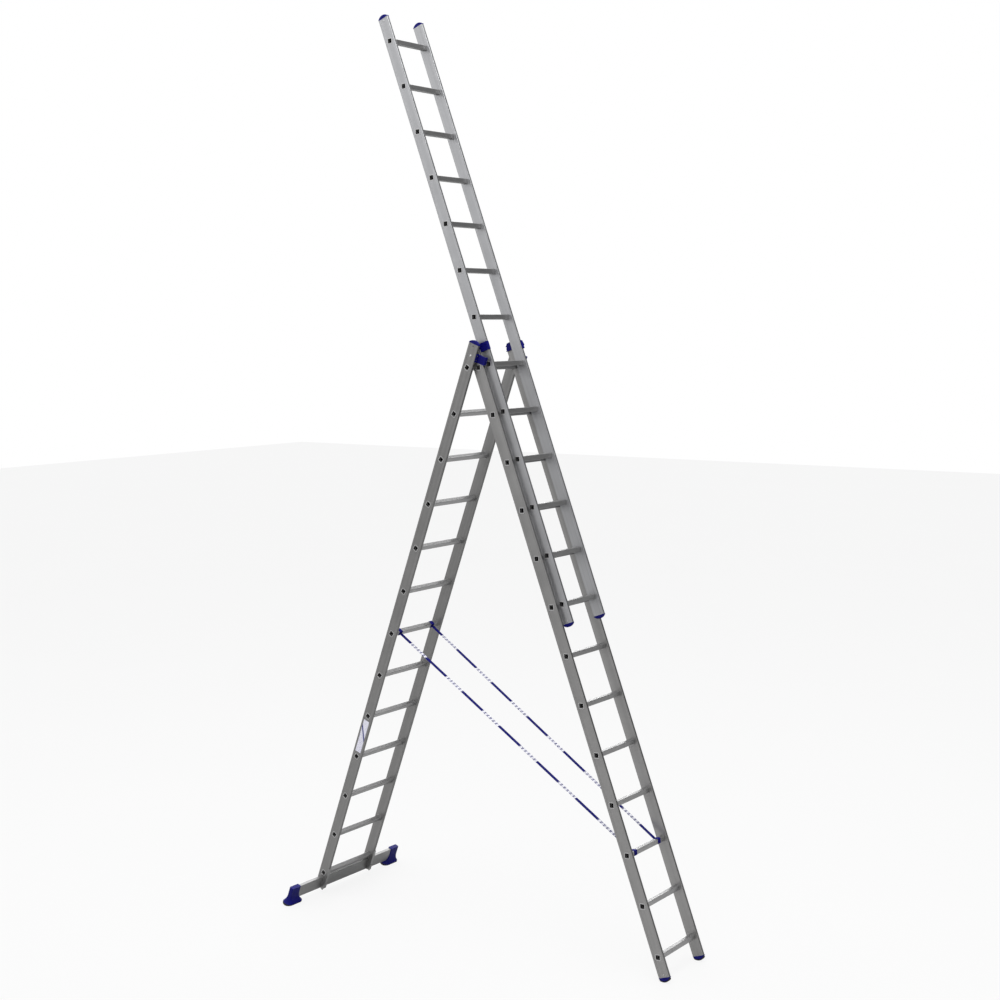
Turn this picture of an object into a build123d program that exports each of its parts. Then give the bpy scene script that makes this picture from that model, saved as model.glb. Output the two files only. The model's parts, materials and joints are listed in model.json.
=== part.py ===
from build123d import *
from math import cos, radians, sin, sqrt
import os

# Three-section aluminium combination ladder, standing as a trestle with its top section run out.
# Millimetres, +Z up, origin on the floor midway between the feet, +X towards the climbing side.
# Each section is drawn in its own frame: x is its depth (front positive), z runs up the stiles,
# and the frame's origin is the centre of the lowest rung. Left is -Y, right is +Y.

# ---- Layout of the sections
rung_pitch = 280
rung_count = 13
spread_angle = 40.8
rungs_run_out = 7
base_width = 440
middle_width = 385
top_width = 330
head_overhang = 140
middle_head_overhang = 100
foot_overhang = 110
base_foot_overhang = 100

# ---- Stile extrusion
stile_depth = 70
stile_flange = 16
flange_wall = 2
edge_wall = 2.8
recess_margin = 2.5
recess_depth = 0.8
inner_wall = 2
stile_corner = 2.5

# ---- Rungs
rung_size = 28
rung_corner = 3
rung_wall = 1.8
rung_tilt = 16.5
tread_groove_width = 1.6
tread_groove_depth = 0.7
tread_groove_pitch = 4
tread_groove_count = 5
swage_wall = 1
swage_length = 14
ring_wall = 3
ring_corner = 7
collar_wall = 2.5
collar_length = 5

# ---- Fits
fixed_gap = 0.05
plug_gap = 0.1
running_gap = 0.05
slide_gap = 1.8

# ---- End caps
cap_skirt = 4
cap_dome = 16
cap_edge = 1.5
plug_length = 25
pad_thickness = 6
pad_inset = 2
rivet_radius = 2
rivet_head_radius = 4
rivet_head_height = 1.2
rivet_head_taper = 30
rivet_setback = 13
rivet_length = 8

# ---- Trestle hinge
pivot_rise = 12
pin_radius = 4
pin_head_radius = 6
pin_head_height = 2.8
insert_bottom = 24
insert_top = 100
insert_back = -14
lug_back = 21.5
lug_bottom = 3
hinge_bolt_rise = 70
hinge_bolt_radius = 4
hinge_bolt_head_radius = 7.5
hinge_bolt_head_height = 3.5

# ---- Guide brackets
guide_wall = 5.2
guide_lip = 12
guide_lip_thickness = 3.5
guide_lip_gap = 0.8
guide_rib = 1.5
guide_rib_width = 4
guide_rib_inset = 10
guide_corner = 3
guide_foot_wall = 4
guide_foot_inset = 4
base_guide_bottom = 45
base_guide_top = 92
middle_guide_bottom = 76
middle_guide_top = 125
guide_block_height = 44
guide_block_chamfer = 16
guide_block_back = 30
guide_block_width = 25
guide_block_gap = 1
guide_block_groove = 5
guide_block_groove_width = 8

# ---- Stabiliser
bar_length = 980
bar_height = 80
bar_thickness = 20
bar_wall = 1.6
bar_drop = 25
bracket_wall = 3
bracket_top = 45
bracket_arm = 7
bracket_tip_drop = 12
bracket_fillet = 20
stabiliser_bolt_drop = 65
bolt_radius = 4
bolt_head_width = 13
bolt_head_height = 5.3
stile_toe_radius = 18
boot_wall = 4
boot_length = 72
boot_end_wall = 10
boot_flare_top = 68
boot_base_length = 136
boot_base_width = 70
boot_base_corner = 33.6
boot_base_place = 455
boot_waist_length = 90
boot_waist_width = 42
boot_waist_corner = 14
boot_waist_drop = 100
boot_drop = 19
sole_thickness = 12
sole_radius = 90

# ---- Spreader straps and label
strap_width = 25
strap_thickness = 1.6
strap_gap = 0.4
loop_wall = 1.3
loop_width = 28
base_strap_rung = 6
middle_strap_rung = 2
base_strap_spacing = 300
middle_strap_spacing = 248
label_width = 42
label_margin = 32
label_thickness = 0.3
label_rung = 3.5

# ---- Sizes that follow
LEFT, RIGHT = -1, 1
side_names = {LEFT: "left", RIGHT: "right"}
half_depth = stile_depth / 2
ring_size = rung_size + 2 * ring_wall
collar_size = rung_size + 2 * collar_wall
swage_bore = rung_size - 2 * swage_wall
tilt_spread = cos(radians(rung_tilt)) + sin(radians(rung_tilt))
rung_reach = rung_corner + (rung_size / 2 - rung_corner) * tilt_spread
ring_reach = ring_corner + (ring_size / 2 - ring_corner) * tilt_spread
recess_width = 2 * (ring_reach + recess_margin)
section_step = half_depth + rung_reach + slide_gap
recess_wall = edge_wall - recess_depth
cavity_depth = stile_depth - 2 * flange_wall
cavity_width = stile_flange - edge_wall - inner_wall
rung_span = (rung_count - 1) * rung_pitch
pivot_height = rung_span + pivot_rise
pivot_inset = section_step / 2
dome_radius = (half_depth**2 + cap_dome**2) / (2 * cap_dome)
bar_bottom = -bar_drop - bar_height
sole_top = bar_bottom - boot_drop
sole_bottom = sole_top - sole_thickness
sole_centre = sole_bottom + sole_radius
dome_centre = -foot_overhang - cap_skirt - cap_dome + dome_radius
pad_radius = dome_radius + pad_thickness


def leg_height(lean, centre, radius):
    """Height of the hinge above the floor for a leg that stands on a round sole."""
    reach = pivot_height - centre
    return reach * cos(radians(lean)) - pivot_inset * sin(radians(lean)) + radius


# The two leans add up to the spread, and both legs reach the floor.
least_lean = 0
most_lean = spread_angle
for _ in range(50):
    base_lean = (least_lean + most_lean) / 2
    middle_lean = spread_angle - base_lean
    if leg_height(base_lean, sole_centre, sole_radius) > leg_height(middle_lean, dome_centre, pad_radius):
        least_lean = base_lean
    else:
        most_lean = base_lean


def toe_reach(lean, depth, height):
    """Level distance from the hinge to a toe of a leg, given in the leg's own frame."""
    across = (depth + pivot_inset) * cos(radians(lean))
    return across + (pivot_height - height) * sin(radians(lean))


pad_toe = half_depth - pad_inset
pad_toe_height = dome_centre - sqrt(pad_radius**2 - pad_toe**2)
front_toe = toe_reach(middle_lean, pad_toe, pad_toe_height)
rear_toe = toe_reach(base_lean, boot_base_width / 2, sole_top)
pivot = Vector((rear_toe - front_toe) / 2, 0, leg_height(base_lean, sole_centre, sole_radius))


def section_frame(lean, inset):
    """Frame of a section whose centre plane passes the hinge pin at the given inset."""
    depth_axis = Vector(cos(radians(lean)), 0, -sin(radians(lean)))
    up_axis = Vector(sin(radians(lean)), 0, cos(radians(lean)))
    return Plane(pivot - depth_axis * inset - up_axis * pivot_height, x_dir=depth_axis, z_dir=up_axis)


base_frame = section_frame(base_lean, pivot_inset)
middle_frame = section_frame(-middle_lean, -pivot_inset)
top_frame = Plane(
    middle_frame.origin
    + middle_frame.x_dir * section_step
    + middle_frame.z_dir * rungs_run_out * rung_pitch,
    x_dir=middle_frame.x_dir,
    z_dir=middle_frame.z_dir,
)


def flank(frame, y):
    """Plane seen from the left at a distance y, with the section's depth and height as its axes."""
    return Plane(frame.origin + Vector(0, y, 0), x_dir=frame.x_dir, z_dir=(0, -1, 0))


def front(frame, depth):
    """Plane facing forward at a depth in the section, with -Y and the height as its axes."""
    return Plane(frame.origin + frame.x_dir * depth, x_dir=(0, -1, 0), z_dir=-frame.x_dir)


def save(part, name):
    part.label = name
    export_step(part, f"parts/{name}.step")


os.makedirs("parts", exist_ok=True)


# ================================================================ stiles and rungs
def rung_row(outline):
    """The outline repeated at every rung, turned so that the treads are level in use."""
    with BuildSketch() as row:
        with Locations([(0, number * rung_pitch) for number in range(rung_count)]):
            add(outline, rotation=-rung_tilt)
    return row.sketch


def stile_profile(width, side):
    """Cross-section of a stile: a flat hollow box with a shallow recess on the outside."""
    outer = side * width / 2
    with BuildSketch() as profile:
        with Locations((0, outer - side * stile_flange / 2)):
            Rectangle(stile_depth, stile_flange)
        fillet(profile.vertices(), stile_corner)
        with Locations((0, outer - side * recess_depth / 2)):
            Rectangle(recess_width, recess_depth, mode=Mode.SUBTRACT)
        with Locations((0, outer - side * (edge_wall + cavity_width / 2))):
            Rectangle(cavity_depth, cavity_width, mode=Mode.SUBTRACT)
    return profile.sketch


def stile(frame, width, side, foot, head, fixings):
    """One stile, pierced at each rung, with a round hole on the outside at each fixing."""
    hole_size = rung_size + 2 * fixed_gap
    with BuildSketch() as hole:
        RectangleRounded(hole_size, hole_size, rung_corner)
    with BuildPart() as rail:
        with BuildSketch(frame.offset(-foot)):
            add(stile_profile(width, side))
        extrude(amount=foot + rung_span + head)
        with BuildSketch(flank(frame, side * width / 2)):
            add(rung_row(hole.sketch))
            for place, radius in fixings:
                with Locations(place):
                    Circle(radius)
        extrude(amount=side * edge_wall, mode=Mode.SUBTRACT)
        with BuildSketch(flank(frame, side * (width / 2 - stile_flange + inner_wall))):
            add(rung_row(hole.sketch))
        extrude(amount=side * inner_wall, mode=Mode.SUBTRACT)
    return rail.part


def rungs(frame, width):
    """All the rungs of a section: ribbed tubes, collared inside and flared outside the stiles."""
    bore = rung_size - 2 * rung_wall
    collar_corner = rung_corner + (collar_size - rung_size) / 2
    with BuildSketch() as tube:
        RectangleRounded(rung_size, rung_size, rung_corner)
        for face in (-1, 1):
            with Locations((0, face * rung_size / 2)):
                with GridLocations(tread_groove_pitch, 1, tread_groove_count, 1):
                    Rectangle(tread_groove_width, 2 * tread_groove_depth, mode=Mode.SUBTRACT)
        Rectangle(bore, bore, mode=Mode.SUBTRACT)
    with BuildSketch() as swage:
        RectangleRounded(rung_size, rung_size, rung_corner)
        Rectangle(swage_bore, swage_bore, mode=Mode.SUBTRACT)
    with BuildSketch() as collar:
        RectangleRounded(collar_size, collar_size, collar_corner)
        Rectangle(swage_bore, swage_bore, mode=Mode.SUBTRACT)
    with BuildSketch() as ring:
        RectangleRounded(ring_size, ring_size, ring_corner)
        Rectangle(swage_bore, swage_bore, mode=Mode.SUBTRACT)
    web_face = width / 2 - recess_depth
    with BuildPart() as row:
        with BuildSketch(flank(frame, web_face - swage_length)):
            add(rung_row(tube.sketch))
        extrude(amount=2 * (web_face - swage_length))
        for side in side_names:
            with BuildSketch(flank(frame, side * web_face)):
                add(rung_row(swage.sketch))
            extrude(amount=side * swage_length)
            with BuildSketch(flank(frame, side * (width / 2 - stile_flange))):
                add(rung_row(collar.sketch))
            extrude(amount=side * collar_length)
            with BuildSketch(flank(frame, side * width / 2)):
                add(rung_row(ring.sketch))
            extrude(amount=side * recess_depth)
    return row.part


# ================================================================ end caps and rivets
def end_plug(frame, width, side, end, way):
    """The part of a cap that fills the end of a stile and takes its rivet."""
    face = side * (width / 2 - edge_wall - plug_gap)
    with BuildPart() as plug:
        with BuildSketch(flank(frame, face)):
            with Locations((0, end - way * plug_length / 2)):
                Rectangle(cavity_depth - 2 * plug_gap, plug_length)
            with Locations((0, end - way * rivet_setback)):
                Circle(rivet_radius + fixed_gap, mode=Mode.SUBTRACT)
        extrude(amount=side * (cavity_width - 2 * plug_gap))
    return plug.part


def end_cap(frame, width, side, end, way):
    """A domed cap on the end of a stile. Way is 1 at a head and -1 at a foot."""
    shoulder = end + way * cap_skirt
    plug = end_plug(frame, width, side, end, way)
    with BuildPart() as cap:
        with BuildSketch(flank(frame, side * width / 2)):
            with BuildLine():
                Polyline(
                    (half_depth, shoulder),
                    (half_depth, end),
                    (-half_depth, end),
                    (-half_depth, shoulder),
                )
                ThreePointArc(
                    (-half_depth, shoulder),
                    (0, shoulder + way * cap_dome),
                    (half_depth, shoulder),
                )
            make_face()
        extrude(amount=side * stile_flange)
        fillet(cap.edges().filter_by(GeomType.CIRCLE), cap_edge)
        add(plug)
    return cap.part


def foot_pad(frame, width, side):
    """The rubber wearing surface that follows the round of a foot cap."""
    pad_top = -foot_overhang - cap_skirt
    pad_low = dome_centre - pad_radius
    with BuildPart() as pad:
        with BuildSketch(flank(frame, side * (width / 2 - cap_edge))):
            with Locations((0, dome_centre)):
                Circle(pad_radius)
            with Locations((0, (pad_top + pad_low) / 2)):
                Rectangle(2 * pad_toe, pad_top - pad_low, mode=Mode.INTERSECT)
            with Locations((0, dome_centre)):
                Circle(dome_radius, mode=Mode.SUBTRACT)
        extrude(amount=side * (stile_flange - 2 * cap_edge))
    return pad.part


def rivets(frame, width, ends):
    """Domed rivets through the webs of both stiles, at the given heights."""
    seat = width / 2 - recess_depth
    with BuildPart() as group:
        for side in side_names:
            with BuildSketch(flank(frame, side * seat)):
                with Locations([(0, end) for end in ends]):
                    Circle(rivet_radius)
            extrude(amount=side * (recess_wall + rivet_length))
            with BuildSketch(flank(frame, side * seat)):
                with Locations([(0, end) for end in ends]):
                    Circle(rivet_head_radius)
            extrude(amount=-side * rivet_head_height, taper=rivet_head_taper)
    return group.part


# ================================================================ trestle hinge
def hinge_insert(side):
    """The block inside the head of a base stile that carries the hinge pin."""
    reach = cavity_depth / 2 - plug_gap
    with BuildPart() as block:
        with BuildSketch(flank(base_frame, side * (base_width / 2 - edge_wall - plug_gap))):
            with BuildLine():
                Polyline(
                    (insert_back, rung_span + insert_bottom),
                    (lug_back, rung_span + insert_bottom),
                    (lug_back, rung_span + lug_bottom),
                    (reach, rung_span + lug_bottom),
                    (reach, rung_span + insert_top),
                    (insert_back, rung_span + insert_top),
                    close=True,
                )
            make_face()
            with Locations((pivot_inset, pivot_height)):
                Circle(pin_radius + fixed_gap, mode=Mode.SUBTRACT)
            with Locations((0, rung_span + hinge_bolt_rise)):
                Circle(hinge_bolt_radius + fixed_gap, mode=Mode.SUBTRACT)
        extrude(amount=side * (cavity_width - 2 * plug_gap))
    return block.part


def hinge_pin(side):
    """The pin about which the middle section swings, headed inside the middle stile."""
    start = base_width / 2 - edge_wall - plug_gap
    head_face = middle_width / 2 - edge_wall - plug_gap
    with BuildPart() as pin:
        with BuildSketch(flank(base_frame, side * start)):
            with Locations((pivot_inset, pivot_height)):
                Circle(pin_radius)
        extrude(amount=side * (start - head_face))
        with BuildSketch(flank(base_frame, side * head_face)):
            with Locations((pivot_inset, pivot_height)):
                Circle(pin_head_radius)
        extrude(amount=side * pin_head_height)
    return pin.part


def hinge_bolts():
    """The round-headed bolts that hold the hinge inserts in the base stiles."""
    seat = base_width / 2 - recess_depth
    with BuildPart() as bolts:
        for side in side_names:
            with BuildSketch(flank(base_frame, side * seat)):
                with Locations((0, rung_span + hinge_bolt_rise)):
                    Circle(hinge_bolt_radius)
            extrude(amount=side * (recess_wall + plug_gap + cavity_width / 2))
            with BuildSketch(flank(base_frame, side * seat)):
                with Locations((0, rung_span + hinge_bolt_rise)):
                    Circle(hinge_bolt_head_radius)
            extrude(amount=-side * hinge_bolt_head_height, taper=rivet_head_taper)
    return bolts.part


# ================================================================ guide brackets
def guide_shoe(frame, guided_width, side, bottom, top):
    """Ribbed side wall and front lip that hold the next section in front of its carrier."""
    outer_face = flank(frame, side * (guided_width / 2 + slide_gap + guide_wall))
    back = half_depth + fixed_gap
    lip_back = section_step + half_depth + guide_lip_gap
    lip_front = lip_back + guide_lip_thickness
    mid_height = rung_span + (bottom + top) / 2
    with BuildPart() as shoe:
        with BuildSketch(outer_face) as wall:
            with Locations(((back + lip_front) / 2, mid_height)):
                Rectangle(lip_front - back, top - bottom)
            fillet(wall.vertices().group_by(Axis.X)[-1], guide_corner)
        extrude(amount=side * guide_wall)
        with BuildSketch(outer_face) as lip:
            with Locations(((lip_back + lip_front) / 2, mid_height)):
                Rectangle(guide_lip_thickness, top - bottom)
            fillet(lip.vertices().group_by(Axis.X)[-1], guide_corner)
        extrude(amount=side * (guide_wall + slide_gap + guide_lip))
        with BuildSketch(outer_face):
            with Locations(((back + lip_front) / 2, mid_height)):
                with GridLocations(1, (top - bottom) / 3, 1, 2):
                    RectangleRounded(lip_front - back - 2 * guide_rib_inset, guide_rib_width, guide_rib)
        extrude(amount=-side * guide_rib)
    return shoe.part


def base_guide(side):
    """The bracket on the head of a base stile, in front of which the middle stile stops."""
    shoe = guide_shoe(base_frame, middle_width, side, base_guide_bottom, base_guide_top)
    foot_face = base_width / 2 - guide_foot_inset
    foot_width = foot_face - middle_width / 2 - slide_gap
    back = half_depth + fixed_gap
    mid_height = rung_span + (base_guide_bottom + base_guide_top) / 2
    with BuildPart() as guide:
        add(shoe)
        with BuildSketch(flank(base_frame, side * foot_face)):
            with Locations((back + guide_foot_wall / 2, mid_height)):
                Rectangle(guide_foot_wall, base_guide_top - base_guide_bottom)
        extrude(amount=side * foot_width)
        with BuildSketch(front(base_frame, back + guide_foot_wall)):
            with Locations(*guide_rivet_places(side)):
                Circle(rivet_radius + fixed_gap)
        extrude(amount=guide_foot_wall, mode=Mode.SUBTRACT)
    return guide.part


def guide_rivet_places(side):
    """Where the two rivets of a base guide stand on the front flange of its stile."""
    wall_face = middle_width / 2 + slide_gap + guide_wall
    across = -side * (wall_face + base_width / 2 - guide_foot_inset) / 2
    mid_height = rung_span + (base_guide_bottom + base_guide_top) / 2
    spread = (base_guide_top - base_guide_bottom) / 4
    return [(across, mid_height - spread), (across, mid_height + spread)]


def base_guide_rivets():
    """Rivets through the base guides and the front flanges of the base stiles."""
    face = half_depth + fixed_gap + guide_foot_wall
    with BuildPart() as group:
        for side in side_names:
            with BuildSketch(front(base_frame, face)):
                with Locations(*guide_rivet_places(side)):
                    Circle(rivet_radius)
            extrude(amount=guide_foot_wall + fixed_gap + flange_wall)
            with BuildSketch(front(base_frame, face)):
                with Locations(*guide_rivet_places(side)):
                    Circle(rivet_head_radius)
            extrude(amount=-rivet_head_height, taper=rivet_head_taper)
    return group.part


def middle_guide(side):
    """The bracket that closes the head of a middle stile and wraps the top section's stile."""
    shoe = guide_shoe(middle_frame, top_width, side, middle_guide_bottom, middle_guide_top)
    head = rung_span + middle_head_overhang
    plug = end_plug(middle_frame, middle_width, side, head, 1)
    block_front = section_step - half_depth - guide_block_gap
    block_top = head + guide_block_height
    guide_top = rung_span + middle_guide_top
    arm_face = top_width / 2 + slide_gap + guide_wall
    with BuildPart() as guide:
        with BuildSketch(flank(middle_frame, side * middle_width / 2)):
            with BuildLine():
                Polyline(
                    (-half_depth, head),
                    (block_front, head),
                    (block_front, block_top),
                    (guide_block_chamfer - guide_block_back, block_top),
                    (-guide_block_back, block_top - guide_block_chamfer),
                    (-guide_block_back, head + cap_skirt),
                    (-half_depth, head + cap_skirt),
                    close=True,
                )
            make_face()
            with Locations((-guide_block_back, head + guide_block_height / 2)):
                Rectangle(2 * guide_block_groove, guide_block_groove_width, mode=Mode.SUBTRACT)
        extrude(amount=side * guide_block_width)
        with BuildSketch(flank(middle_frame, side * arm_face)):
            with Locations((half_depth / 2, (head + guide_top) / 2)):
                Rectangle(half_depth + 2 * fixed_gap, guide_top - head)
        extrude(amount=side * guide_wall)
        add(shoe)
        add(plug)
    return guide.part


# ================================================================ base stiles and stabiliser
def stabiliser_bolt_places():
    """Where the bolts run through the stiles and the bar, seen from the front."""
    across = base_width / 2 - stile_flange / 2
    return [(across, -stabiliser_bolt_drop), (-across, -stabiliser_bolt_drop)]


def base_stile(side):
    """A base stile, notched at the foot for the bar and bored for the hinge pin."""
    fixings = [
        ((0, rung_span + head_overhang - rivet_setback), rivet_radius + fixed_gap),
        ((0, rung_span + hinge_bolt_rise), hinge_bolt_radius + fixed_gap),
    ]
    rail = stile(base_frame, base_width, side, base_foot_overhang, head_overhang, fixings)
    bore_face = base_width / 2 - stile_flange + inner_wall
    slot_top = -bar_drop + fixed_gap
    with BuildPart() as notched:
        add(rail)
        with BuildSketch(flank(base_frame, side * base_width / 2)):
            with Locations((0, slot_top - base_foot_overhang / 2)):
                Rectangle(bar_thickness + 2 * fixed_gap, base_foot_overhang)
        extrude(amount=side * stile_flange, mode=Mode.SUBTRACT)
        with BuildSketch(flank(base_frame, side * base_width / 2)) as toes:
            with Locations((0, -base_foot_overhang)):
                Rectangle(stile_depth, 2 * stile_toe_radius)
            with Locations((0, 2 * stile_toe_radius - base_foot_overhang)):
                RectangleRounded(stile_depth, 4 * stile_toe_radius, stile_toe_radius, mode=Mode.SUBTRACT)
        extrude(amount=side * stile_flange, mode=Mode.SUBTRACT)
        with BuildSketch(flank(base_frame, side * bore_face)):
            with Locations((pivot_inset, pivot_height)):
                Circle(pin_radius + fixed_gap)
        extrude(amount=side * inner_wall, mode=Mode.SUBTRACT)
        with BuildSketch(front(base_frame, half_depth)):
            with Locations(*stabiliser_bolt_places()):
                Circle(bolt_radius + fixed_gap)
        extrude(amount=stile_depth, mode=Mode.SUBTRACT)
        with BuildSketch(front(base_frame, half_depth)):
            with Locations(*guide_rivet_places(side)):
                Circle(rivet_radius + fixed_gap)
        extrude(amount=flange_wall, mode=Mode.SUBTRACT)
    return notched.part


def middle_stile(side):
    """A middle stile, bored for the hinge pin."""
    fixings = [
        ((0, rivet_setback - foot_overhang), rivet_radius + fixed_gap),
        ((0, rung_span + middle_head_overhang - rivet_setback), rivet_radius + fixed_gap),
        ((-pivot_inset, pivot_height), pin_radius + running_gap),
    ]
    return stile(middle_frame, middle_width, side, foot_overhang, middle_head_overhang, fixings)


def top_stile(side):
    """A stile of the top section, capped at both ends."""
    ends = (rivet_setback - foot_overhang, rung_span + head_overhang - rivet_setback)
    fixings = [((0, end), rivet_radius + fixed_gap) for end in ends]
    return stile(top_frame, top_width, side, foot_overhang, head_overhang, fixings)


def stabiliser_bar():
    """The rectangular tube across the feet of the base section."""
    with BuildPart() as bar:
        with BuildSketch(flank(base_frame, bar_length / 2)):
            with Locations((0, -bar_drop - bar_height / 2)):
                RectangleRounded(bar_thickness, bar_height, bar_wall)
                Rectangle(bar_thickness - 2 * bar_wall, bar_height - 2 * bar_wall, mode=Mode.SUBTRACT)
        extrude(amount=bar_length)
        with BuildSketch(front(base_frame, half_depth)):
            with Locations(*stabiliser_bolt_places()):
                Circle(bolt_radius + fixed_gap)
        extrude(amount=stile_depth, mode=Mode.SUBTRACT)
    return bar.part


def stabiliser_bracket(side):
    """The angle plate round the foot of a base stile, bolted through the bar."""
    inner = half_depth + fixed_gap
    outer = inner + bracket_wall
    arm = half_depth + bracket_wall - bracket_arm
    slot = bar_thickness / 2 + 2 * fixed_gap
    plate_top = -bar_drop + bracket_wall
    tip = bar_bottom - bracket_tip_drop / 2
    with BuildPart() as bracket:
        with BuildSketch(flank(base_frame, side * base_width / 2)) as plate:
            with BuildLine():
                Polyline(
                    (slot, plate_top),
                    (slot, bar_bottom),
                    (half_depth - bracket_arm, tip),
                    (outer, bar_bottom + bracket_tip_drop),
                    (outer, bracket_top),
                    (arm, bracket_top),
                    (arm, plate_top),
                    close=True,
                )
            make_face()
            inner_corner = plate.vertices().sort_by_distance((arm, plate_top))[0]
            fillet(inner_corner, bracket_fillet)
        extrude(amount=-side * bracket_wall)
        with BuildSketch(front(base_frame, outer)):
            width = stile_flange + bracket_wall
            across = base_width / 2 + bracket_wall - width / 2
            low = bar_bottom + bracket_tip_drop
            with Locations((-side * across, (low + bracket_top) / 2)):
                Rectangle(width, bracket_top - low)
            with Locations((-side * (base_width / 2 - stile_flange / 2), -stabiliser_bolt_drop)):
                Circle(bolt_radius + fixed_gap, mode=Mode.SUBTRACT)
        extrude(amount=bracket_wall)
    return bracket.part


def stabiliser_bolts():
    """Hexagon bolts through brackets, stiles and bar, each with its nut behind."""
    head_face = half_depth + fixed_gap + bracket_wall
    span = head_face + half_depth + bolt_head_height
    with BuildPart() as bolts:
        with BuildSketch(front(base_frame, head_face)):
            with Locations(*stabiliser_bolt_places()):
                Circle(bolt_radius)
        extrude(amount=span)
        with BuildSketch(front(base_frame, head_face + bolt_head_height)):
            with Locations(*stabiliser_bolt_places()):
                RegularPolygon(bolt_head_width / 2, 6, major_radius=False)
        extrude(amount=bolt_head_height)
        with BuildSketch(front(base_frame, -half_depth)):
            with Locations(*stabiliser_bolt_places()):
                RegularPolygon(bolt_head_width / 2, 6, major_radius=False)
        extrude(amount=bolt_head_height)
    return bolts.part


def stabiliser_boot(side):
    """The moulded boot over the end of the bar, flared out to its sole."""
    outer_end = bar_length / 2 + boot_end_wall
    sleeve_width = bar_thickness + 2 * boot_wall
    sleeve_place = outer_end - boot_length / 2
    waist_place = (sleeve_place + boot_base_place) / 2
    sole_drop = -sole_top
    with BuildPart() as boot:
        with BuildSketch(base_frame.offset(-boot_flare_top)):
            with Locations((0, side * sleeve_place)):
                RectangleRounded(sleeve_width, boot_length, boot_wall)
        extrude(amount=boot_flare_top - bar_drop + boot_wall)
        with BuildSketch(base_frame.offset(-boot_flare_top)):
            with Locations((0, side * sleeve_place)):
                RectangleRounded(sleeve_width, boot_length, boot_wall)
        with BuildSketch(base_frame.offset(-boot_waist_drop)):
            with Locations((0, side * waist_place)):
                RectangleRounded(boot_waist_width, boot_waist_length, boot_waist_corner)
        with BuildSketch(base_frame.offset(-sole_drop)):
            with Locations((0, side * boot_base_place)):
                RectangleRounded(boot_base_width, boot_base_length, boot_base_corner)
        loft()
        with BuildSketch(flank(base_frame, side * (bar_length / 2 + fixed_gap))):
            with Locations((0, -bar_drop - bar_height / 2)):
                Rectangle(bar_thickness + 2 * fixed_gap, bar_height + 2 * fixed_gap)
        extrude(amount=side * boot_base_length, mode=Mode.SUBTRACT)
    return boot.part


def stabiliser_sole(side):
    """The rubber sole under a boot, rounded so that it stands at any lean."""
    with BuildPart() as sole:
        with BuildSketch(base_frame.offset(sole_bottom)):
            with Locations((0, side * boot_base_place)):
                RectangleRounded(boot_base_width, boot_base_length, boot_base_corner)
        extrude(amount=sole_thickness)
        with BuildSketch(flank(base_frame, boot_base_place + boot_base_length)):
            with Locations((0, sole_centre)):
                Circle(sole_radius)
        extrude(amount=2 * (boot_base_place + boot_base_length), mode=Mode.INTERSECT)
    return sole.part


# ================================================================ straps and label
def strap_loop(frame, side, rung, spacing):
    """The end of a strap, stitched round a rung."""
    inner = rung_size + 2 * fixed_gap
    outer = inner + 2 * loop_wall
    with BuildPart() as loop:
        with BuildSketch(flank(frame, side * (spacing + loop_width) / 2)):
            with Locations(Location((0, rung * rung_pitch), -rung_tilt)):
                RectangleRounded(outer, outer, rung_corner + loop_wall)
                RectangleRounded(inner, inner, rung_corner, mode=Mode.SUBTRACT)
        extrude(amount=side * loop_width)
    return loop.part


def strap(side):
    """The webbing that stops the legs from spreading, taut between its two loops."""
    rear = base_frame.origin + base_frame.z_dir * base_strap_rung * rung_pitch
    fore = middle_frame.origin + middle_frame.z_dir * middle_strap_rung * rung_pitch
    rear += Vector(0, side * base_strap_spacing / 2, 0)
    fore += Vector(0, side * middle_strap_spacing / 2, 0)
    run = fore - rear
    clear = rung_size / sqrt(2) + loop_wall + strap_gap
    with BuildPart() as webbing:
        with BuildSketch(Plane(rear + run.normalized() * clear, x_dir=(0, 1, 0), z_dir=run)):
            Rectangle(strap_width, strap_thickness)
        extrude(amount=run.length - 2 * clear)
    return webbing.part


def rating_label():
    """The sticker in the web recess of the left base stile."""
    with BuildPart() as label:
        with BuildSketch(flank(base_frame, -base_width / 2 + recess_depth)):
            with Locations((0, label_rung * rung_pitch)):
                RectangleRounded(label_width, rung_pitch - 2 * label_margin, rung_corner)
        extrude(amount=label_thickness)
    return label.part


# ================================================================ the ladder
head_end = rung_span + head_overhang
for side, name in side_names.items():
    save(base_stile(side), f"base_{name}_stile")
    save(end_cap(base_frame, base_width, side, head_end, 1), f"base_{name}_head_cap")
    save(hinge_insert(side), f"hinge_{name}_insert")
    save(hinge_pin(side), f"hinge_{name}_pin")
    save(base_guide(side), f"base_{name}_guide")
    save(stabiliser_bracket(side), f"stabiliser_{name}_bracket")
    save(stabiliser_boot(side), f"stabiliser_{name}_boot")
    save(stabiliser_sole(side), f"stabiliser_{name}_sole")
    save(strap(side), f"spreader_{name}_strap")
    save(strap_loop(base_frame, side, base_strap_rung, base_strap_spacing), f"strap_{name}_rear_loop")
    save(strap_loop(middle_frame, side, middle_strap_rung, middle_strap_spacing), f"strap_{name}_front_loop")
    save(middle_stile(side), f"middle_{name}_stile")
    save(middle_guide(side), f"middle_{name}_guide")
    save(end_cap(middle_frame, middle_width, side, -foot_overhang, -1), f"middle_{name}_foot_cap")
    save(foot_pad(middle_frame, middle_width, side), f"middle_{name}_foot_pad")
    save(top_stile(side), f"top_{name}_stile")
    save(end_cap(top_frame, top_width, side, head_end, 1), f"top_{name}_head_cap")
    save(end_cap(top_frame, top_width, side, -foot_overhang, -1), f"top_{name}_foot_cap")

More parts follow.
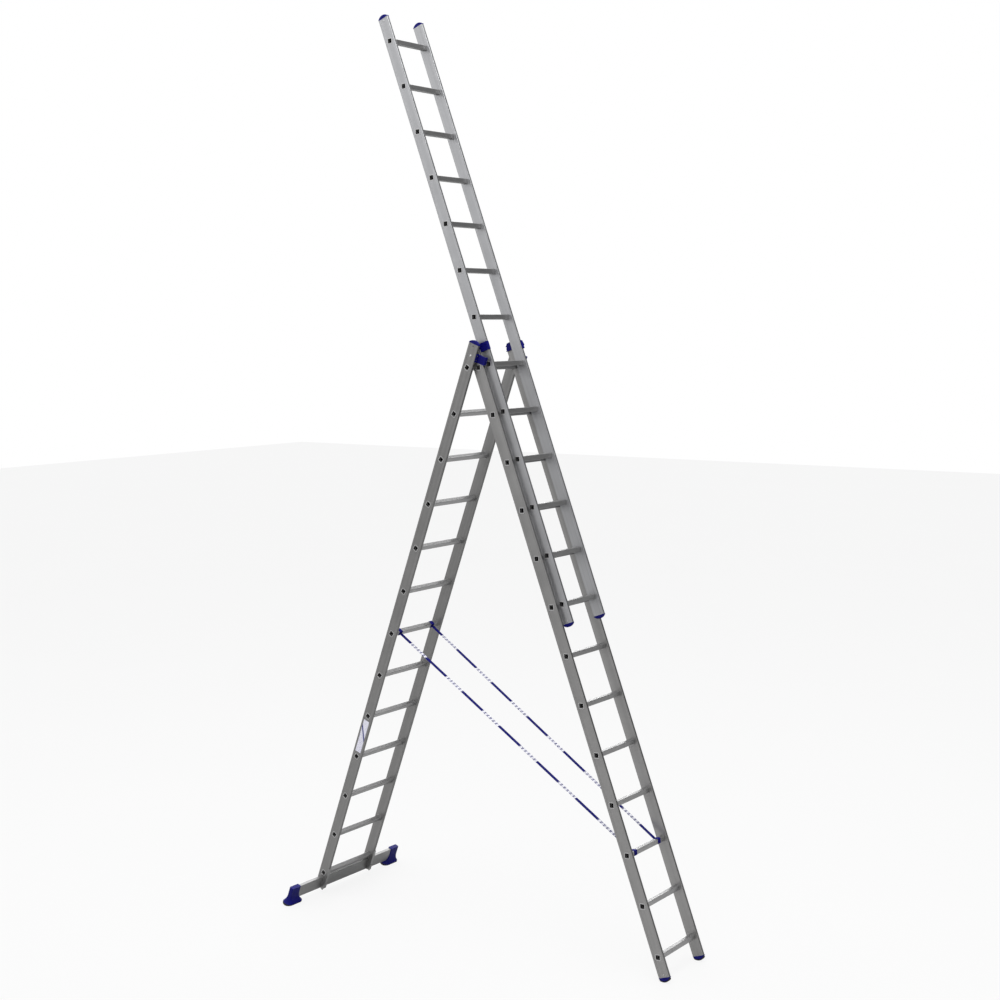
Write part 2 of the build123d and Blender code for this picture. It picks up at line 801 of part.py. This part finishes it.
save(rungs(base_frame, base_width), "base_rungs")
save(rungs(middle_frame, middle_width), "middle_rungs")
save(rungs(top_frame, top_width), "top_rungs")
save(rivets(base_frame, base_width, [head_end - rivet_setback]), "base_cap_rivets")
foot_rivets = rivet_setback - foot_overhang
save(rivets(middle_frame, middle_width, [foot_rivets, rung_span + middle_head_overhang - rivet_setback]),
     "middle_cap_rivets")
save(rivets(top_frame, top_width, [foot_rivets, head_end - rivet_setback]), "top_cap_rivets")
save(hinge_bolts(), "hinge_bolts")
save(base_guide_rivets(), "base_guide_rivets")
save(stabiliser_bar(), "stabiliser_bar")
save(stabiliser_bolts(), "stabiliser_bolts")
save(rating_label(), "rating_label")
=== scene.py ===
import json
from math import atan2, cos, pi, radians, sin

import bmesh
import bpy
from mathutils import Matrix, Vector


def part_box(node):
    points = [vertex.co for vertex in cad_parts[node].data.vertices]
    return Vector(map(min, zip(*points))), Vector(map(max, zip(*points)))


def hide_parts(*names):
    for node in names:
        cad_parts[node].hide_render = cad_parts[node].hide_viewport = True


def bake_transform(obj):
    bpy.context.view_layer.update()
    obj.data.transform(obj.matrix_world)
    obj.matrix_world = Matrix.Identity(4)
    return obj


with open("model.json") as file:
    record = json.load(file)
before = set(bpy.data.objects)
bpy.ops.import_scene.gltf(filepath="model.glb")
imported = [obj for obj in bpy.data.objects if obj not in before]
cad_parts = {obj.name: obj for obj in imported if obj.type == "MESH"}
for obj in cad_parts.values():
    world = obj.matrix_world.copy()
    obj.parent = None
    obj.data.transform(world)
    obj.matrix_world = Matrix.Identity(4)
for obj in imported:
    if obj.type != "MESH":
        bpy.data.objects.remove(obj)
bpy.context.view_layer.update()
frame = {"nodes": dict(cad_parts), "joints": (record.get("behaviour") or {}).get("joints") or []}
nodes = frame["nodes"]

# ================================================================ sizes in metres, leans in radians
HALF_STILE_DEPTH = 0.035
# From the middle of a stile's depth to the step beside its recess, where a highlight is painted
RECESS_STEP = 0.0222
FLARE_THICKNESS = 0.0007

WEB_WIDTH = 0.025
WEB_THICKNESS = 0.0016
WEB_STEPS = 96
LOOP_CLEARANCE = 0.017

joints = {joint["name"]: joint for joint in frame["joints"]}
FRONT_UP = Vector(joints["extension"]["axis"]).normalized()
FRONT_LEAN = atan2(-FRONT_UP.x, FRONT_UP.z)
REAR_LEAN = radians(joints["leg_spread"]["range_deg"][1]) - FRONT_LEAN

# The base section leans towards +X, the middle and top sections towards -X.
LEANS = {"base": REAR_LEAN, "middle": -FRONT_LEAN, "top": -FRONT_LEAN}


def middle(name):
    """The middle of a CAD node's box."""
    low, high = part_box(name)
    return (low + high) / 2


def across(point, lean):
    """How far a point lies from the origin, measured square to a leaning stile."""
    return point.x * cos(lean) - point.z * sin(lean)


# ================================================================ node graphs
class Graph:
    """A node tree under construction. An input is a number, a vector or another node's socket."""

    def __init__(self, tree):
        self.tree = tree

    def node(self, kind, inputs=(), **settings):
        made = self.tree.nodes.new(kind)
        for key, value in settings.items():
            setattr(made, key, value)
        for key, value in dict(inputs).items():
            if isinstance(value, bpy.types.NodeSocket):
                self.tree.links.new(value, made.inputs[key])
            else:
                made.inputs[key].default_value = value
        return made

    def math(self, operation, a, b=0.0):
        return self.node("ShaderNodeMath", {0: a, 1: b}, operation=operation).outputs[0]

    def product(self, first, *others):
        for factor in others:
            first = self.math("MULTIPLY", first, factor)
        return first

    def vector(self, operation, a, b):
        return self.node("ShaderNodeVectorMath", {0: a, 1: b}, operation=operation).outputs["Vector"]

    def dot(self, a, b):
        made = self.node("ShaderNodeVectorMath", {0: a, 1: b}, operation="DOT_PRODUCT")
        return made.outputs["Value"]

    def axis(self, vector, name):
        return self.node("ShaderNodeSeparateXYZ", {0: vector}).outputs[name]

    def span(self, value, low, high, to_low=0.0, to_high=1.0):
        """Carries one range over to another, clamped at its ends."""
        source = {"Value": value, "From Min": low, "From Max": high}
        target = {"To Min": to_low, "To Max": to_high}
        return self.node("ShaderNodeMapRange", {**source, **target}).outputs["Result"]

    def fade(self, factor, at_zero, at_one):
        return self.span(factor, 0, 1, at_zero, at_one)

    def vary(self, noise, to_low, to_high):
        """Carries the usual range of a noise over to another range."""
        return self.span(noise, 0.3, 0.7, to_low, to_high)

    def wave(self, distance, pitch):
        return self.math("SINE", self.math("MULTIPLY", distance, 2 * pi / pitch))

    def seen_by_camera(self):
        return self.node("ShaderNodeLightPath").outputs["Is Camera Ray"]


class Shader(Graph):
    """A material under construction. Colours are linear RGB, and color is the plain one for all of it."""

    def __init__(self, name, color, roughness, metallic=0.0, specular=0.5):
        self.material = bpy.data.materials.new(name)
        self.material.use_nodes = True
        super().__init__(self.material.node_tree)
        self.surface = self.tree.nodes["Principled BSDF"]
        self.surface.inputs["Base Color"].default_value = (*color, 1)
        self.surface.inputs["Roughness"].default_value = roughness
        self.surface.inputs["Metallic"].default_value = metallic
        self.surface.inputs["Specular IOR Level"].default_value = specular

    def link(self, value, socket):
        self.tree.links.new(value, self.surface.inputs[socket])

    def place(self):
        return self.node("ShaderNodeTexCoord").outputs["Object"]

    def turned(self, vector, lean):
        """A vector turned so that Z runs up a stile that leans towards +X."""
        inputs = {"Vector": vector, "Angle": -lean}
        return self.node("ShaderNodeVectorRotate", inputs, rotation_type="Y_AXIS").outputs[0]

    def along(self, lean=0.0, scale=(1, 1, 1)):
        return self.vector("MULTIPLY", self.turned(self.place(), lean), scale)

    def noise(self, vector, scale, detail=2.0, rough=0.5):
        inputs = {"Vector": vector, "Scale": scale, "Detail": detail, "Roughness": rough}
        return self.node("ShaderNodeTexNoise", inputs).outputs["Fac"]

    def mix(self, factor, a, b):
        """Mixes two colours, each a linear RGB triple or a socket."""
        made = self.node("ShaderNodeMix", data_type="RGBA")
        for key, value in (("Factor", factor), ("A", a), ("B", b)):
            sockets = [s for s in made.inputs if s.name == key and s.enabled]
            if isinstance(value, bpy.types.NodeSocket):
                self.tree.links.new(value, sockets[0])
            else:
                sockets[0].default_value = (*value, 1)
        return [s for s in made.outputs if s.enabled][0]

    def shade(self, color, factor):
        """A colour multiplied by a factor socket."""
        made = self.node("ShaderNodeVectorMath", {0: color, "Scale": factor}, operation="SCALE")
        return made.outputs[0]

    def bump(self, height, distance, strength):
        inputs = {"Height": height, "Distance": distance, "Strength": strength}
        self.link(self.node("ShaderNodeBump", inputs).outputs["Normal"], "Normal")


# ================================================================ metals, plastic and rubber
def extruded(name, color, lean, centre):
    """Bare extruded aluminium: die lines along the stile, faint handling marks and a dull bloom.

    The narrow front and back faces are darkened with painted shade, and the steps beside the recess carry
    a painted highlight. Centre is the place of the stile's middle, measured square to it.
    """
    roughness = 0.38
    # Strength of the painted shade on the narrow faces and of the painted highlight on the recess steps
    narrow_shade_level = 0.7
    step_highlight_level = 1.18
    s = Shader(name, color, roughness, metallic=0.88)
    from_middle = s.math("ABSOLUTE", s.math("SUBTRACT", s.axis(s.along(lean), "X"), centre))
    # Painted shade on the narrow front and back faces, and a painted highlight along the steps beside the
    # recess
    narrow = s.span(from_middle, HALF_STILE_DEPTH - 0.0015, HALF_STILE_DEPTH - 0.0005)
    step_start = s.span(from_middle, RECESS_STEP - 0.001, RECESS_STEP)
    step_end = s.span(from_middle, RECESS_STEP + 0.0023, RECESS_STEP + 0.0003)
    step = s.product(step_start, step_end)
    die_lines = s.noise(s.along(lean, (260, 260, 1.2)), 1.0, 3.0)
    bands = s.noise(s.along(lean, (55, 55, 0.25)), 1.0, 1.0)
    bloom = s.noise(s.along(lean), 7.0, 4.0)
    marks = s.span(s.noise(s.along(lean, (30, 30, 9)), 3.0, 5.0, 0.7), 0.62, 0.78)
    level = s.product(
        s.math("ADD", s.vary(die_lines, -0.045, 0.045), s.vary(bands, 0.95, 1.05)),
        s.vary(bloom, 0.96, 1.04),
        s.fade(marks, 1.0, 0.9),
        s.fade(narrow, 1.0, narrow_shade_level),
        s.fade(step, 1.0, step_highlight_level),
    )
    s.link(s.shade(color, level), "Base Color")
    dull = s.vary(bloom, roughness - 0.05, roughness + 0.06)
    s.link(s.math("ADD", dull, s.fade(marks, 0.0, 0.12)), "Roughness")
    s.bump(die_lines, 0.0002, 0.25)
    return s.material


def drawn_rung(name, color, flare=1.0):
    """A drawn rung: lines along its length, scuffed where feet land, with a painted highlight on the
    flared ends.

    Flare is the distance from the middle of the ladder at which the flared end starts. The stabiliser
    bar has no flare, and ends short of the value given here.
    """
    roughness = 0.34
    flare_highlight_level = 1.5
    s = Shader(name, color, roughness, metallic=0.88)
    lines = s.noise(s.along(0, (420, 3, 420)), 1.0, 2.0)
    scuffs = s.span(s.noise(s.along(0, (16, 6, 16)), 2.0, 5.0, 0.7), 0.5, 0.75)
    # Painted highlight: the rung is brightened past the flare distance, on its flared ends
    outward = s.math("ABSOLUTE", s.axis(s.along(), "Y"))
    level = s.product(
        s.vary(lines, 0.93, 1.06),
        s.fade(scuffs, 0.97, 1.06),
        s.span(outward, flare, flare + 0.0003, 1.0, flare_highlight_level),
    )
    s.link(s.shade(color, level), "Base Color")
    s.link(s.fade(scuffs, roughness + 0.05, roughness - 0.06), "Roughness")
    s.bump(lines, 0.0002, 0.3)
    return s.material


def machined(name, color, roughness, grain=900.0):
    """Cold-formed or turned metal with a fine grain and small dull patches."""
    s = Shader(name, color, roughness, metallic=0.95)
    fine = s.noise(s.along(), grain, 2.0)
    patches = s.noise(s.along(), 60.0, 4.0)
    level = s.product(s.vary(fine, 0.93, 1.05), s.vary(patches, 0.92, 1.05))
    s.link(s.shade(color, level), "Base Color")
    s.link(s.vary(patches, roughness - 0.05, roughness + 0.1), "Roughness")
    s.bump(fine, 0.0001, 0.3)
    return s.material


def moulded(name, color, roughness):
    """Injection-moulded plastic: fine spark-eroded texture, paler where it has been rubbed."""
    s = Shader(name, color, roughness, specular=0.12)
    grain = s.noise(s.along(), 1400.0, 2.0)
    flow = s.noise(s.along(), 26.0, 4.0)
    rubbed = s.span(s.noise(s.along(), 70.0, 6.0, 0.7), 0.6, 0.8)
    pale = tuple(c * 1.4 + 0.004 for c in color)
    s.link(s.mix(rubbed, s.shade(color, s.vary(flow, 0.86, 1.14)), pale), "Base Color")
    smooth = s.vary(flow, roughness - 0.05, roughness + 0.05)
    s.link(s.math("ADD", smooth, s.fade(rubbed, 0.0, 0.14)), "Roughness")
    s.bump(grain, 0.0002, 0.35)
    return s.material


def moulded_rubber(name):
    """Black rubber with a fine matt texture and a trace of dust."""
    black, dusty = (0.012, 0.012, 0.014), (0.035, 0.034, 0.032)
    s = Shader(name, black, 0.7, specular=0.35)
    grain = s.noise(s.along(), 1100.0, 3.0)
    dust = s.span(s.noise(s.along(), 45.0, 5.0, 0.65), 0.5, 0.8)
    s.link(s.mix(dust, black, dusty), "Base Color")
    s.link(s.fade(dust, 0.62, 0.82), "Roughness")
    s.bump(grain, 0.0003, 0.5)
    return s.material


# Each section's stiles get a different shade of the same alloy: painted reflection, standing in for the
# grained metal catching different parts of the studio as the sections lean opposite ways.
stile_colors_painted_reflection = {
    "base": (0.23, 0.228, 0.226),
    "middle": (0.29, 0.287, 0.285),
    "top": (0.38, 0.383, 0.394),
}
stile_metal, rung_metal = {}, {}
for section, color in stile_colors_painted_reflection.items():
    rungs, lean = f"{section}_rungs", LEANS[section]
    centre = across(middle(rungs), lean)
    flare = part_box(rungs)[1].y - FLARE_THICKNESS
    stile_metal[section] = extruded(f"extruded_aluminium_{section}", color, lean, centre)
    rung_metal[section] = drawn_rung(f"drawn_rung_{section}", (0.33, 0.33, 0.332), flare)

steel = machined("plated_steel", (0.45, 0.45, 0.45), 0.24)
# Near-black steel, painted shade for the base guide and cap rivets
darkened_rivet_steel = machined("darkened_rivet_steel", (0.08, 0.08, 0.085), 0.5)
blue_plastic = moulded("ultramarine_plastic", (0.002, 0.002, 0.10), 0.5)
black_rubber = moulded_rubber("black_rubber")

common_finish = {
    "bar": drawn_rung("bar_aluminium", (0.27, 0.27, 0.27)),
    "bracket": machined("pressed_steel", (0.32, 0.32, 0.32), 0.36, 500.0),
    **dict.fromkeys(("cap", "guide", "boot"), blue_plastic),
    **dict.fromkeys(("pad", "sole"), black_rubber),
    **dict.fromkeys(("rivets", "bolts", "pin", "insert"), steel),
}


def dress(piece, material):
    piece.data.materials.clear()
    piece.data.materials.append(material)


for name, node in nodes.items():
    section, ending = name.split("_")[0], name.split("_")[-1]
    if ending == "stile":
        dress(node, stile_metal[section])
    elif ending == "rungs":
        dress(node, rung_metal[section])
    # Near-black steel on these rivets is painted shade: the guide rivets sit in the shadow beside the
    # base guide, and the cap rivets are given the same.
    elif name in ("base_cap_rivets", "base_guide_rivets"):
        dress(node, darkened_rivet_steel)
    elif ending in common_finish:
        dress(node, common_finish[ending])


def add(name, data, location=(0, 0, 0), rotation=(0, 0, 0)):
    """Puts new data into the scene as an object."""
    made = bpy.data.objects.new(name, data)
    made.location = location
    made.rotation_euler = rotation
    bpy.context.scene.collection.objects.link(made)
    return made


# ================================================================ webbing
def webbing(name, rear, run):
    """Woven webbing, ultramarine with pale woven blocks repeated along it, from the strap's upper end."""
    period, first_block, block_share = 0.31, 0.11, 0.44
    check_length, check_width, check_depth = 0.024, 0.0115, 0.85
    warp_pitch, weft_pitch = 0.0016, 0.0022
    ultramarine, pale = (0.003, 0.003, 0.11), (0.62, 0.62, 0.68)
    s = Shader(name, (0.01, 0.01, 0.2), 0.8, specular=0.1)
    place = s.place()
    offset = s.vector("SUBTRACT", place, rear)
    ahead = s.dot(offset, run.normalized())
    sideways = s.axis(offset, "Y")
    phase = s.math("FRACT", s.math("DIVIDE", s.math("SUBTRACT", ahead, first_block), period))
    in_block = s.math("LESS_THAN", phase, block_share)
    check_long = s.math("GREATER_THAN", s.wave(ahead, check_length), 0.1)
    check_wide = s.math("GREATER_THAN", s.wave(sideways, check_width), -0.75)
    checks = s.product(check_long, check_wide)
    paleness = s.product(in_block, s.math("SUBTRACT", 1.0, s.product(checks, check_depth)))
    weave = s.product(s.wave(sideways, warp_pitch), s.wave(ahead, weft_pitch))
    fuzz = s.noise(place, 240.0, 3.0)
    level = s.product(s.span(weave, -1, 1, 0.86, 1.08), s.vary(fuzz, 0.9, 1.1))
    s.link(s.shade(s.mix(paleness, ultramarine, pale), level), "Base Color")
    s.bump(weave, 0.0004, 0.6)
    return s.material


def ribbon(name, path, normal):
    """A flat strip of webbing with rounded edges, swept along a path."""
    half, thick = WEB_WIDTH / 2, WEB_THICKNESS / 2
    upper = [(-half, 0), (-half + thick, thick), (half - thick, thick)]
    outline = upper + [(-sideways, -rise) for sideways, rise in upper]
    mesh = bmesh.new()
    rings = []
    for point in path:
        ring = [point + Vector((0, sideways, 0)) + normal * rise for sideways, rise in outline]
        rings.append([mesh.verts.new(place) for place in ring])
    for first, second in zip(rings, rings[1:]):
        for k in range(len(outline)):
            following = (k + 1) % len(outline)
            mesh.faces.new((first[k], first[following], second[following], second[k]))
    mesh.faces.new(rings[0][::-1])
    mesh.faces.new(rings[-1])
    bmesh.ops.recalc_face_normals(mesh, faces=mesh.faces)
    data = bpy.data.meshes.new(name)
    mesh.to_mesh(data)
    mesh.free()
    data.shade_smooth()
    return add(name, data)


def strap_path(rear, run):
    """Points from just past the rear loop to just short of the front one."""
    for k in range(WEB_STEPS + 1):
        share = k / WEB_STEPS
        point = rear + run.normalized() * (LOOP_CLEARANCE + (run.length - 2 * LOOP_CLEARANCE) * share)
        point.y = rear.y + run.y * share
        yield point


for side in ("left", "right"):
    rear, front = middle(f"strap_{side}_rear_loop"), middle(f"strap_{side}_front_loop")
    run = front - rear
    finish = webbing(f"webbing_{side}", rear, run)
    upward = run.cross(Vector((0, 1, 0))).normalized()
    strap = ribbon(f"{side}_webbing", strap_path(rear, run), upward)
    dress(strap, finish)
    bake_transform(strap)
    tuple(rear)
    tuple(front)
    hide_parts(f"spreader_{side}_strap")
    for end in ("rear", "front"):
        dress(nodes[f"strap_{side}_{end}_loop"], finish)


# ================================================================ label
def label_material(name):
    """A pale label with a blue diagonal stripe and rows of plain grey bars in place of print."""
    slope, stripe_place, half_stripe = 2.1, 0.022, 0.011
    row_pitch = 0.006
    pale, ink, blue = (0.66, 0.66, 0.74), (0.14, 0.13, 0.30), (0.006, 0.012, 0.16)
    s = Shader(name, (0.8, 0.8, 0.85), 0.35)
    turned = s.turned(s.vector("SUBTRACT", s.place(), middle(name)), REAR_LEAN)
    sideways, up = s.axis(turned, "X"), s.axis(turned, "Z")
    slant = s.math("ADD", s.math("MULTIPLY", sideways, slope), up)
    from_stripe = s.math("ABSOLUTE", s.math("SUBTRACT", slant, stripe_place))
    stripe = s.math("LESS_THAN", from_stripe, half_stripe)
    rows = s.math("GREATER_THAN", s.wave(sideways, row_pitch), 0.2)
    words = s.span(s.noise(s.along(REAR_LEAN, (240, 1, 130)), 1.0, 0.0), 0.50, 0.52)
    below = s.math("LESS_THAN", slant, 0.0)
    printed = s.product(rows, words, s.fade(below, 0.30, 0.55))
    s.link(s.mix(stripe, s.mix(printed, pale, ink), blue), "Base Color")
    return s.material


dress(nodes["rating_label"], label_material("rating_label"))


# ================================================================ floor, light and camera
def floor_material(name):
    """A pale floor that reads as white, but throws little light up under the ladder."""
    s = Shader(name, (0.5, 0.5, 0.5), 0.9, specular=0.1)
    s.link(s.mix(s.noise(s.along(), 0.6, 2.0), (0.42, 0.42, 0.42), (0.45, 0.45, 0.45)), "Base Color")
    glow = s.node("ShaderNodeEmission", {"Color": (0.99, 0.99, 0.99, 1), "Strength": 1.0})
    share = s.product(s.seen_by_camera(), 0.85)
    blend = s.node("ShaderNodeMixShader", {0: share, 1: s.surface.outputs[0], 2: glow.outputs[0]})
    s.tree.links.new(blend.outputs[0], s.tree.nodes["Material Output"].inputs["Surface"])
    return s.material


def floor(name, size):
    half = size / 2
    data = bpy.data.meshes.new(name)
    outline = [(-half, -half, 0), (half, -half, 0), (half, half, 0), (-half, half, 0)]
    data.from_pydata(outline, [], [(0, 1, 2, 3)])
    made = add(name, data)
    dress(made, floor_material(name))


def softbox(name, location, target, size, power):
    data = bpy.data.lights.new(name, "AREA")
    data.shape = "SQUARE"
    data.size = size
    data.energy = power
    facing = Vector(target) - Vector(location)
    add(name, data, location, facing.to_track_quat("-Z", "Y").to_euler())


floor("studio_floor", size=60.0)
softbox("overhead", (1.0, -1.0, 9.5), (0, 0, 2.0), size=7.0, power=900)
softbox("left_wall", (-7.0, -4.0, 5.0), (0, 0, 2.6), size=4.0, power=60)

# A studio that is bright above and behind the ladder, dim to its right and below, and white where it
# is seen directly.
world = bpy.data.worlds.new("studio")
bpy.context.scene.world = world
world.use_nodes = True
sky = Graph(world.node_tree)
sky_view = sky.node("ShaderNodeTexCoord").outputs["Generated"]


def sky_lobe(toward, low, high, at_low, at_high):
    """Brightness that changes with the angle to one direction of the studio."""
    return sky.span(sky.dot(sky_view, Vector(toward).normalized()), low, high, at_low, at_high)


ceiling = sky_lobe((0, 0, 1), -0.5, 0.3, 0.35, 1.0)
dark_side = sky_lobe((0.6, 0.8, 0), 0.5, 0.85, 1.0, 0.15)
bright_back = sky_lobe((-0.6, 0.75, 0.3), 0.7, 0.95, 0.0, 2.2)
brightness = sky.math("ADD", sky.product(ceiling, dark_side), bright_back)
direct = sky.seen_by_camera()
brightness = sky.math("ADD", sky.product(brightness, sky.math("SUBTRACT", 1.0, direct)), direct)
sky.tree.links.new(brightness, sky.tree.nodes["Background"].inputs["Strength"])
sky.tree.nodes["Background"].inputs["Color"].default_value = (1, 1, 1, 1)

camera_data = bpy.data.cameras.new("camera")
camera_data.sensor_width = 36.0
camera_data.lens = 57.7585
camera_turn = (radians(83.9506), radians(0.5267), radians(36.4148))
bpy.context.scene.camera = add("camera", camera_data, (5.4746, -7.3603, 3.4888), camera_turn)
bpy.context.scene.view_settings.view_transform = "Standard"
